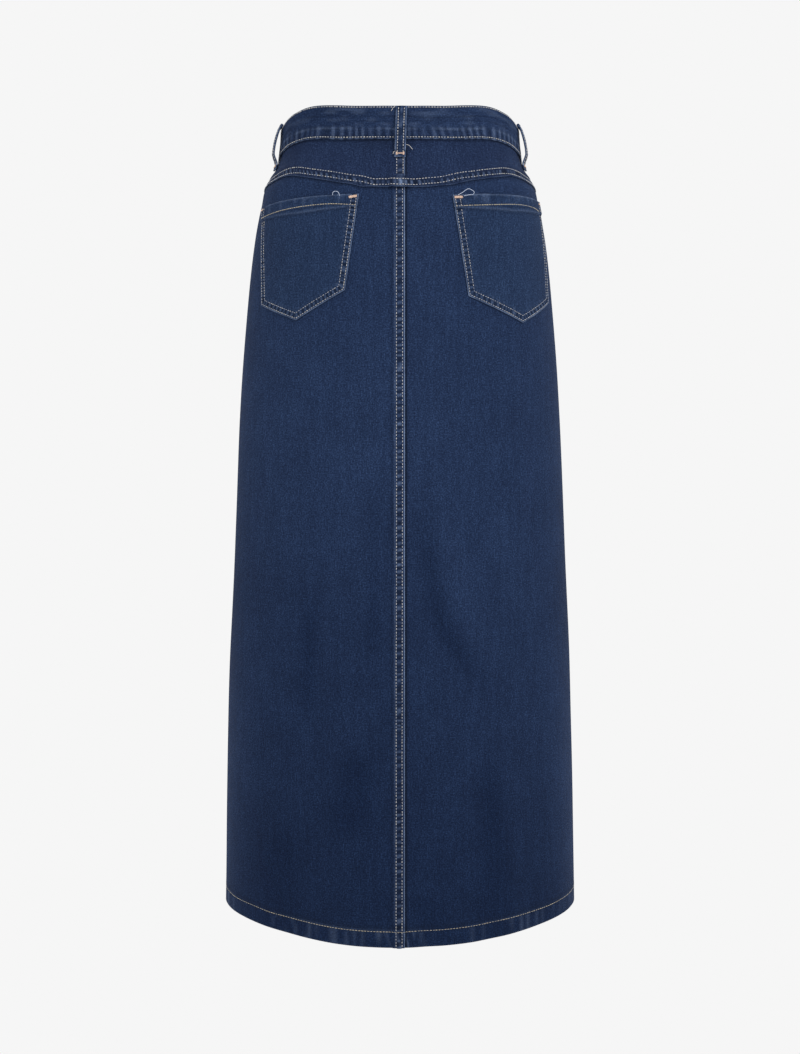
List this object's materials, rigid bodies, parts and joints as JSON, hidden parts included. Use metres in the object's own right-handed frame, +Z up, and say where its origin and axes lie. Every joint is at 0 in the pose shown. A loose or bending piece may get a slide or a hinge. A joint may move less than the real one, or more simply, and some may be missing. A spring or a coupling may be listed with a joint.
{
  "type": "denim skirt",
  "caption": "Long straight-flaring denim skirt with a belt-looped waistband, pointed back yoke seam, patch pockets and a plain topstitched hem, filled out as worn.",
  "frame": {"origin": "where the wearer holds the skirt up: middle of the waist opening, level with the middle of the waistband at the centre back", "axes": "+Z up, from hem to waist; -Y the skirt's back, with the yoke and patch pockets; +X the wearer's right"},
  "size_m": [0.41, 0.2875, 0.9092],
  "materials": {
    "denim": "dark indigo stretch denim, washed, matt with a faint twill",
    "zip_tape": "navy woven polyester tape, corded along its inner edge",
    "zip_metal": "brushed brass, dulled between the teeth",
    "button_metal": "antique brass, darkened in its recess"
  },
  "bodies": {
    "root": {"waistband": "denim", "back_yoke_left": "denim", "back_yoke_right": "denim", "back_panel_left": "denim", "back_panel_right": "denim", "front_panel_left": "denim", "front_panel_right": "denim", "back_pocket_left": "denim", "back_pocket_right": "denim", "belt_loop_centre_back": "denim", "belt_loop_side_left": "denim", "belt_loop_side_right": "denim", "belt_loop_front_left": "denim", "belt_loop_front_right": "denim", "fly_zip": "zip_tape", "zip_slider": "zip_metal", "waist_button": "button_metal"}
  },
  "joints": []
}
